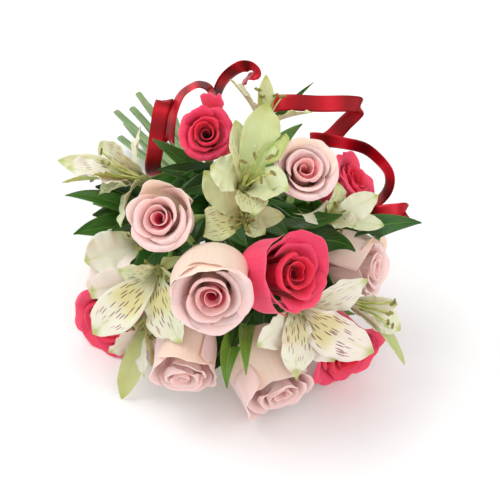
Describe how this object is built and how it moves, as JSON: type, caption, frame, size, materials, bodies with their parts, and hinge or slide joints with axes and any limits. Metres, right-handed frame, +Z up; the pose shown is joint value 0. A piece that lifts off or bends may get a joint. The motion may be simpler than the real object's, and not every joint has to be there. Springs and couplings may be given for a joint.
{
  "type": "flower bouquet",
  "caption": "Hand-tied posy of pink and red roses with white alstroemeria, dark leaves and curled red ribbon, lying on its side with its cut stems behind it.",
  "frame": {"origin": "on the table, under the middle of the posy's bounding box", "axes": "+Z up from the table, -Y the way the head of flowers points, +Y back along the stems to their cut ends, +X to the right as the flowers are looked at"},
  "size_m": [0.2011, 0.3106, 0.1653],
  "materials": {
    "rose_pink": "soft matt petals, cream at the rim and coral pink at the heart",
    "rose_red": "velvety crimson petals with a faint sheen",
    "alstroemeria_white": "waxy cream-white tepals with brown flecks, a yellow patch and green tips",
    "leaf_green": "glossy dark green leaves with a pale midrib",
    "stem_green": "smooth satin green rose stem, calyx and leaves",
    "ribbon_red": "satin metallic red curling ribbon"
  },
  "bodies": {
    "root": {"alstroemeria_back": "alstroemeria_white", "alstroemeria_below_left": "alstroemeria_white", "alstroemeria_far_left": "alstroemeria_white", "alstroemeria_far_right": "alstroemeria_white", "alstroemeria_left": "alstroemeria_white", "alstroemeria_right": "alstroemeria_white", "alstroemeria_top": "alstroemeria_white", "alstroemeria_upper_left": "alstroemeria_white", "alstroemeria_upper_middle": "alstroemeria_white", "alstroemeria_upper_right": "alstroemeria_white", "pink_rose_below": "rose_pink", "pink_rose_below_stem": "stem_green", "pink_rose_far": "rose_pink", "pink_rose_far_stem": "stem_green", "pink_rose_front": "rose_pink", "pink_rose_front_stem": "stem_green", "pink_rose_left": "rose_pink", "pink_rose_left_stem": "stem_green", "pink_rose_middle": "rose_pink", "pink_rose_middle_stem": "stem_green", "pink_rose_right": "rose_pink", "pink_rose_right_stem": "stem_green", "red_rose_front": "rose_red", "red_rose_front_stem": "stem_green", "red_rose_left": "rose_red", "red_rose_left_stem": "stem_green", "red_rose_middle": "rose_red", "red_rose_middle_stem": "stem_green", "red_rose_right": "rose_red", "red_rose_right_stem": "stem_green", "red_rose_top": "rose_red", "red_rose_top_stem": "stem_green", "ribbon_band": "ribbon_red", "ribbon_tail_left": "ribbon_red", "ribbon_tail_right": "ribbon_red", "spray_left": "leaf_green", "spray_right": "leaf_green", "spray_top": "leaf_green"}
  },
  "joints": []
}
